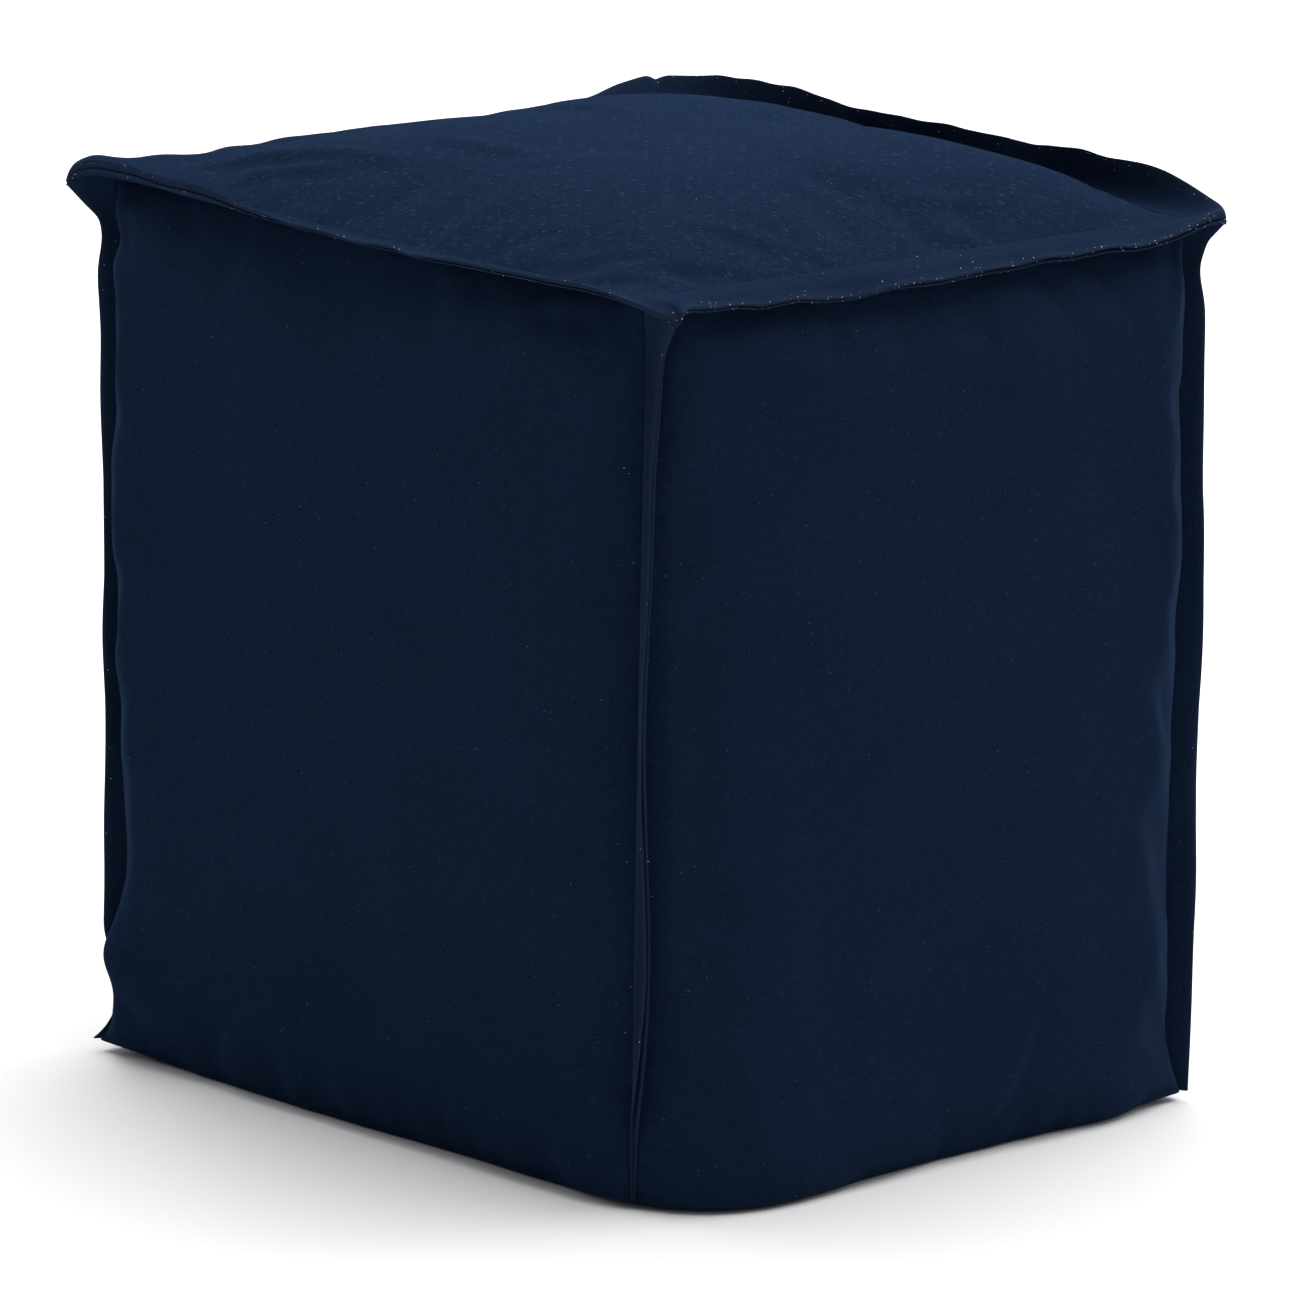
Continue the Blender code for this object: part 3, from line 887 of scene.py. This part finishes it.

# %% [markdown]
# ## Cloth as a material
#
# Up close the cloth is a plain weave of navy yarn. Some yarns are thicker for a few
# millimetres, which leaves short pale dashes along the weft, and a few white fibres cling to
# it. The colour itself clouds a little because dye never takes evenly. On the top the dashes
# are painted stronger, as painted highlight of the overhead light on the yarns' relief, and
# the lips are painted paler, partly wear and partly painted highlight. All of it is worked
# out from the cloth's own flat map, so the weave runs with each panel.

# %% A small class for shader maths
class Yarn:
    """A value or a colour inside a material. Arithmetic on it adds the Math nodes for it."""

    def __init__(self, tree, socket):
        self.tree = tree
        self.socket = socket

    def math(self, operation, first, second=0.0):
        return add_node(self.tree, "ShaderNodeMath", {"operation": operation}, {0: first, 1: second})

    def __add__(self, other):
        return self.math("ADD", self, other)

    def __radd__(self, other):
        return self.math("ADD", other, self)

    def __rsub__(self, other):
        return self.math("SUBTRACT", other, self)

    def __mul__(self, other):
        return self.math("MULTIPLY", self, other)

    def __rmul__(self, other):
        return self.math("MULTIPLY", other, self)

    def __truediv__(self, other):
        return self.math("DIVIDE", self, other)

    def sine(self):
        return self.math("SINE", self)

    def ramp(self, low, high):
        """0 below low, 1 above high and a soft step between."""
        return add_node(self.tree, "ShaderNodeMapRange", {"interpolation_type": "SMOOTHSTEP"},
                        {"Value": self, "From Min": low, "From Max": high})


def add_node(tree, kind, settings=None, values=None, output=0):
    """One node with its settings and its sockets, given back as a Yarn."""
    node = tree.nodes.new(kind)
    for name, value in (settings or {}).items():
        setattr(node, name, value)
    for name, value in (values or {}).items():
        if isinstance(value, Yarn):
            tree.links.new(value.socket, node.inputs[name])
        else:
            node.inputs[name].default_value = value
    return Yarn(tree, node.outputs[output])


def combine(tree, x, y, z):
    """Three values as one vector."""
    return add_node(tree, "ShaderNodeCombineXYZ", None, {"X": x, "Y": y, "Z": z})


def plain_paint(name, constants):
    """Material with the same values all over, set on the shader's own sockets."""
    material = bpy.data.materials.new(name)
    material.use_nodes = True
    for socket, value in constants.items():
        material.node_tree.nodes["Principled BSDF"].inputs[socket].default_value = value
    return material


# %% Navy cloth
NAVY = (0.0078, 0.016, 0.0375, 1.0)
NAVY_DEEP = (0.0056, 0.012, 0.029, 1.0)
SLUB_COLOR = (0.024, 0.04, 0.076, 1.0)
# Paler colour of the lips: partly wear, partly painted highlight where a lip's round edge catches the light
LIP_WEAR_AND_HIGHLIGHT_COLOR = (0.026, 0.04, 0.073, 1.0)
FIBRE_COLOR = (0.3, 0.35, 0.43, 1.0)
YARN_PITCH = 0.00075
SHEEN = {
    "Specular IOR Level": 0.0,
    "Sheen Weight": 0.08,
    "Sheen Roughness": 0.3,
    "Sheen Tint": (0.28, 0.5, 1.0, 1.0),
}

# Each streak of noise: how long and how wide it is in metres, its seed and its detail
YARN_STREAK = (0.006, 0.0007, 1.0, 1.0)
WARP_STREAK = (0.007, 0.0007, 2.0, 1.0)
SLUB_STREAK = (0.005, 0.0008, 3.0, 0.0)
UPRIGHT_SLUB_STREAK = (0.0065, 0.0009, 6.0, 0.0)
CLOUD_STREAK = (0.06, 0.045, 4.0, 2.0)
FIBRE_STREAK = (0.0012, 0.0008, 5.0, 0.0)


def mix_color(tree, share, first, second):
    """Blend two colours by a share."""
    return add_node(tree, "ShaderNodeMix", {"data_type": "RGBA"},
                    {"Factor": share, 6: first, 7: second}, 2)


def streak(tree, along, across, long, wide, seed, detail):
    """Noise drawn out along one direction of the cloth, between 0 and 1."""
    place = combine(tree, along / long, across / wide, seed)
    return add_node(tree, "ShaderNodeTexNoise", None,
                    {"Vector": place, "Scale": 1.0, "Detail": detail, "Roughness": 0.5})


def navy_cloth(name):
    """Plain-woven navy cloth, by the piece's own flat map in metres."""
    material = plain_paint(name, SHEEN)
    tree = material.node_tree
    shader = tree.nodes["Principled BSDF"]
    flat = add_node(tree, "ShaderNodeUVMap", {"uv_map": "cloth"})
    weft = add_node(tree, "ShaderNodeSeparateXYZ", None, {"Vector": flat}, 0)
    warp = Yarn(tree, weft.socket.node.outputs[1])
    lip = add_node(tree, "ShaderNodeAttribute", {"attribute_name": "lip"}, None, 2)
    turn = 2.0 * math.pi / YARN_PITCH
    weave = (weft * turn).sine() * (warp * turn).sine()
    weft_yarn = streak(tree, weft, warp, *YARN_STREAK)
    warp_yarn = streak(tree, warp, weft, *WARP_STREAK)
    slub = streak(tree, weft, warp, *SLUB_STREAK).ramp(0.68, 0.8)
    upright_slub = streak(tree, warp, weft, *UPRIGHT_SLUB_STREAK).ramp(0.7, 0.8)
    cloud = streak(tree, weft, warp, *CLOUD_STREAK)
    fibre = streak(tree, weft, warp, *FIBRE_STREAK).ramp(0.875, 0.895)
    heather = 0.45 * weft_yarn + 0.35 * warp_yarn + 0.2 * cloud
    color = mix_color(tree, heather.ramp(0.3, 0.7), NAVY_DEEP, NAVY)
    # The top gets more and stronger pale dashes than the sides: real slubs plus painted highlight of the
    # overhead light grazing the top
    top_highlight_share = warp.ramp(SEAM_HEIGHT + 0.02, SEAM_HEIGHT + 0.03)
    color = mix_color(tree, slub * (0.24 + 0.66 * top_highlight_share), color, SLUB_COLOR)
    color = mix_color(tree, upright_slub * (0.16 + 0.1 * top_highlight_share), color, SLUB_COLOR)
    # Lips painted paler: partly wear, partly painted highlight where a lip's round edge catches the light
    color = mix_color(tree, lip * (0.12 + 0.3 * weft_yarn), color, LIP_WEAR_AND_HIGHLIGHT_COLOR)
    color = mix_color(tree, fibre * 0.5, color, FIBRE_COLOR)
    height = weave * 0.25 + weft_yarn * 0.8 + warp_yarn * 0.6 + slub * 0.5
    bump = add_node(tree, "ShaderNodeBump", None, {"Strength": 0.5, "Distance": 0.0003, "Height": height})
    roughness = 0.8 + 0.12 * heather
    for socket, result in (("Base Color", color), ("Roughness", roughness), ("Normal", bump)):
        tree.links.new(result.socket, shader.inputs[socket])
    return material


panel_cloth = navy_cloth("navy_panel_cloth")
flange_cloth = navy_cloth("navy_flange_cloth_doubled")
for piece in [cover, top_cloth] + corner_cloths:
    piece.data.materials.clear()
    piece.data.materials.append(panel_cloth if piece == cover else flange_cloth)
print("materials:", panel_cloth.name, flange_cloth.name)

# %% [markdown]
# ## Stitches and lint
#
# A flange is closed by a row of stitches close to its root, through both layers, in thread of
# the cloth's own colour. They could be modelled one by one, but a path and a pitch say the
# same: Geometry Nodes walks along the path and lays one thread down at every pitch.
# Dark cloth also gathers short white fibres, most of all on its turned lips, so the second
# tree scatters them by the marks that the flanges carry.

# %% Helpers for Geometry Nodes
SOCKETS = {float: "NodeSocketFloat", int: "NodeSocketInt", bpy.types.Material: "NodeSocketMaterial"}


def new_node_group(name, sizes):
    """Geometry node group with one named input for each size, and those inputs to build on."""
    group = bpy.data.node_groups.new(name, "GeometryNodeTree")
    group.interface.new_socket("Geometry", in_out="OUTPUT", socket_type="NodeSocketGeometry")
    group.interface.new_socket("Geometry", in_out="INPUT", socket_type="NodeSocketGeometry")
    for size, value in sizes.items():
        group.interface.new_socket(size, in_out="INPUT", socket_type=SOCKETS[type(value)])
    entry = group.nodes.new("NodeGroupInput")
    return group, {socket.name: Yarn(group, socket) for socket in entry.outputs if socket.name}


def end_group(group, instances, material):
    """Last steps of every tree: instances made real, and their material."""
    real = add_node(group, "GeometryNodeRealizeInstances", None, {"Geometry": instances})
    made = add_node(group, "GeometryNodeSetMaterial", None, {"Geometry": real, "Material": material})
    group.links.new(made.socket, group.nodes.new("NodeGroupOutput").inputs["Geometry"])


def grow(name, source, group, sizes):
    """Run a node group on a source mesh and keep the result as a plain mesh at the origin."""
    piece = new_object(name, source)
    modifier = piece.modifiers.new(name, "NODES")
    modifier.node_group = group
    for socket in group.interface.items_tree:
        if socket.in_out == "INPUT" and socket.name in sizes:
            modifier[socket.identifier] = sizes[socket.name]
    keep_result(piece, modifier)
    return piece


# %% Threads along the flanges' roots
thread = plain_paint("navy_thread", {"Base Color": NAVY, "Roughness": 0.7, "Specular IOR Level": 0.05})
STITCH_SIZES = {"Pitch": 0.0034, "Length": 0.0026, "Radius": 0.0002, "Slant": 0.12, "Seed": 4,
                "Thread": thread}
THREAD_SIDES = 6
THREAD_RINGS = 4

stitching, size = new_node_group("stitches", STITCH_SIZES)
path = add_node(stitching, "GeometryNodeMeshToCurve", None, {"Mesh": size["Geometry"]})
path = add_node(stitching, "GeometryNodeResampleCurve", {"mode": "LENGTH"},
                {"Curve": path, "Length": size["Pitch"]})
tangent = add_node(stitching, "GeometryNodeInputTangent")
slanted = add_node(stitching, "FunctionNodeRandomValue", {"data_type": "FLOAT"},
                   {2: 0.0 - size["Slant"], 3: size["Slant"], "Seed": size["Seed"]}, 1)
slant = combine(stitching, slanted, slanted, slanted)
heading = add_node(stitching, "ShaderNodeVectorMath", {"operation": "ADD"}, {0: tangent, 1: slant})
turned = add_node(stitching, "FunctionNodeAlignRotationToVector", {"axis": "Z"}, {"Vector": heading})
capsule = add_node(stitching, "GeometryNodeMeshUVSphere", None,
                   {"Segments": THREAD_SIDES, "Rings": THREAD_RINGS, "Radius": 1.0})
shape = combine(stitching, size["Radius"], size["Radius"], size["Length"] * 0.5)
laid = add_node(stitching, "GeometryNodeInstanceOnPoints", None,
                {"Points": path, "Instance": capsule, "Rotation": turned, "Scale": shape})
end_group(stitching, laid, size["Thread"])

# The paths run over the point of the section next to the root, on every side that can be seen
ON_TOP = 2
ON_RIGHT = 1
ON_LEFT = len(SECTION_MARKS) - 2
BARE_ENDS = 3  # rings without stitches at each end of a corner flange
stitch_paths = [([ring[ON_TOP] for ring in top_rings], True)]
for rings in corner_rings:
    sewn = rings[BARE_ENDS:-BARE_ENDS]
    stitch_paths += [([ring[place] for ring in sewn], False) for place in (ON_RIGHT, ON_LEFT)]
path_points = []
path_edges = []
for points, closed in stitch_paths:
    first = len(path_points)
    path_points += [tuple(point + CENTRE) for point in points]
    path_edges += [(first + k, first + k + 1) for k in range(len(points) - 1)]
    if closed:
        path_edges.append((first + len(points) - 1, first))
path_mesh = bpy.data.meshes.new("stitch_paths")
path_mesh.from_pydata(path_points, path_edges, [])
stitches = grow("stitches", path_mesh, stitching, STITCH_SIZES)
print("stitches:", len(stitches.data.polygons), "faces")

# %% Lint on the lips
SPECK_FACES = 20
fluff_white = plain_paint("white_lint", {"Base Color": (0.62, 0.66, 0.72, 1.0), "Roughness": 0.9})
LINT_SIZES = {"Density": 60000.0, "Smallest": 0.00012, "Largest": 0.00042, "Floor": 0.02, "Seed": 11,
              "Lint": fluff_white}

linting, size = new_node_group("lint", LINT_SIZES)
marked = add_node(linting, "GeometryNodeInputNamedAttribute", {"data_type": "FLOAT"}, {"Name": "lint"})
place = add_node(linting, "GeometryNodeInputPosition")
height = add_node(linting, "ShaderNodeSeparateXYZ", None, {"Vector": place}, 2)
off_floor = height.math("GREATER_THAN", height, size["Floor"])
thick = marked * size["Density"] * off_floor
spots = add_node(linting, "GeometryNodeDistributePointsOnFaces", {"distribute_method": "RANDOM"},
                 {"Mesh": size["Geometry"], "Density": thick, "Seed": size["Seed"]})
long = add_node(linting, "FunctionNodeRandomValue", {"data_type": "FLOAT"},
                {2: size["Smallest"], 3: size["Largest"], "Seed": size["Seed"]}, 1)
shape = combine(linting, long, long * 0.7, long * 0.5)
speck = add_node(linting, "GeometryNodeMeshIcoSphere", None, {"Radius": 1.0, "Subdivisions": 1})
laid = add_node(linting, "GeometryNodeInstanceOnPoints", None,
                {"Points": spots, "Instance": speck, "Scale": shape})
end_group(linting, laid, size["Lint"])

lint_pieces = []
for cloth in [top_cloth] + corner_cloths:
    name = cloth.name.replace("flange_cloth", "lint")
    lint_pieces.append(grow(name, cloth.data.copy(), linting, LINT_SIZES))
print("lint:", [len(piece.data.polygons) // SPECK_FACES for piece in lint_pieces], "specks")

# %% [markdown]
# ## Floor, light and camera
#
# The pouf stands on a plain pale floor under one broad soft light, with a weaker one on each
# side. The camera is far away with a long lens, which is why the upright edges stay nearly
# parallel.

# %% Floor and room
FLOOR_HALF = 40.0
FLOOR_COLOR = (0.84, 0.84, 0.84, 1.0)
ROOM_COLOR = (0.97, 0.98, 1.0, 1.0)
ROOM_STRENGTH = 0.3

floor = new_mesh_object("floor", [
    (-FLOOR_HALF, -FLOOR_HALF, 0.0), (FLOOR_HALF, -FLOOR_HALF, 0.0),
    (FLOOR_HALF, FLOOR_HALF, 0.0), (-FLOOR_HALF, FLOOR_HALF, 0.0),
], [(0, 1, 2, 3)])
FLOOR_PAINT = {"Base Color": FLOOR_COLOR, "Roughness": 0.9, "Specular IOR Level": 0.1}
floor.data.materials.append(plain_paint("pale_floor", FLOOR_PAINT))

scene = bpy.context.scene
scene.view_settings.view_transform = "Standard"
room = bpy.data.worlds.new("pale_room")
room.use_nodes = True
room.node_tree.nodes["Background"].inputs["Color"].default_value = ROOM_COLOR
room.node_tree.nodes["Background"].inputs["Strength"].default_value = ROOM_STRENGTH
scene.world = room
print("floor and room in place")


# %% Lights
AIM = Vector((0.0, 0.0, 0.25))
SOFTBOXES = {  # place, size in metres and power in watts
    "overhead": ((-0.6, 1.2, 4.2), 6.0, 450.0),
    "left_side": ((-2.6, -0.6, 0.9), 1.2, 16.0),
    "right_side": ((0.6, 2.6, 0.9), 1.2, 16.0),
}


def softbox(name, place, size, power):
    """Square soft light that looks at the middle of the pouf."""
    light = bpy.data.lights.new(name, "AREA")
    light.size = size
    light.energy = power
    holder = new_object(name, light)
    holder.location = place
    holder.rotation_euler = (AIM - Vector(place)).to_track_quat("-Z", "Y").to_euler()


for name, (place, size, power) in SOFTBOXES.items():
    softbox(name, place, size, power)
print(len(SOFTBOXES), "soft lights")

# %% Camera
YAW, PITCH, ROLL = math.radians(44.976), math.radians(12.48), math.radians(2.617)
CAMERA_DISTANCE = 5.775
AIM_HEIGHT = 0.2055
FRAME_SIZE = 1300.0
FOCAL_PIXELS = 12353.3
AIM_SHIFT = (10.2, 2.2)  # in pixels of that frame
SENSOR = 36.0
FAR = 200.0

back = Vector((math.sin(YAW) * math.cos(PITCH), -math.cos(YAW) * math.cos(PITCH), math.sin(PITCH)))
right = (-back).cross(Vector((0.0, 0.0, 1.0))).normalized()
upward = right.cross(-back)
turned_right = right * math.cos(ROLL) + upward * math.sin(ROLL)
turned_up = upward * math.cos(ROLL) - right * math.sin(ROLL)
stand = Matrix((turned_right, turned_up, back)).transposed().to_4x4()
stand.translation = Vector((0.0, 0.0, AIM_HEIGHT)) + back * CAMERA_DISTANCE
lens = bpy.data.cameras.new("camera")
lens.sensor_width = SENSOR
lens.lens = FOCAL_PIXELS / FRAME_SIZE * SENSOR
lens.shift_x = -AIM_SHIFT[0] / FRAME_SIZE
lens.shift_y = AIM_SHIFT[1] / FRAME_SIZE
lens.clip_end = FAR
camera = new_object("camera", lens)
camera.matrix_world = stand
scene.camera = camera
print("camera with a", round(lens.lens), "mm lens")

# %% [markdown]
# ## Hand over
#
# Last, each piece is tied to the imported part that it rides on, and the solid that it
# stands for is hidden.

# %% Tie the pieces to the frame
for piece, nodes, slot in (
    [(cover, ["body"], "cloth"), (top_cloth, ["top_flange"], "flange_cloth")]
    + [(piece, ["flange_" + corner.name], "flange_cloth") for piece, corner in zip(corner_cloths, CORNERS)]
):
    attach(piece, "root")
    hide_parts(*nodes)
for piece in [stitches] + lint_pieces:
    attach(piece, "root")
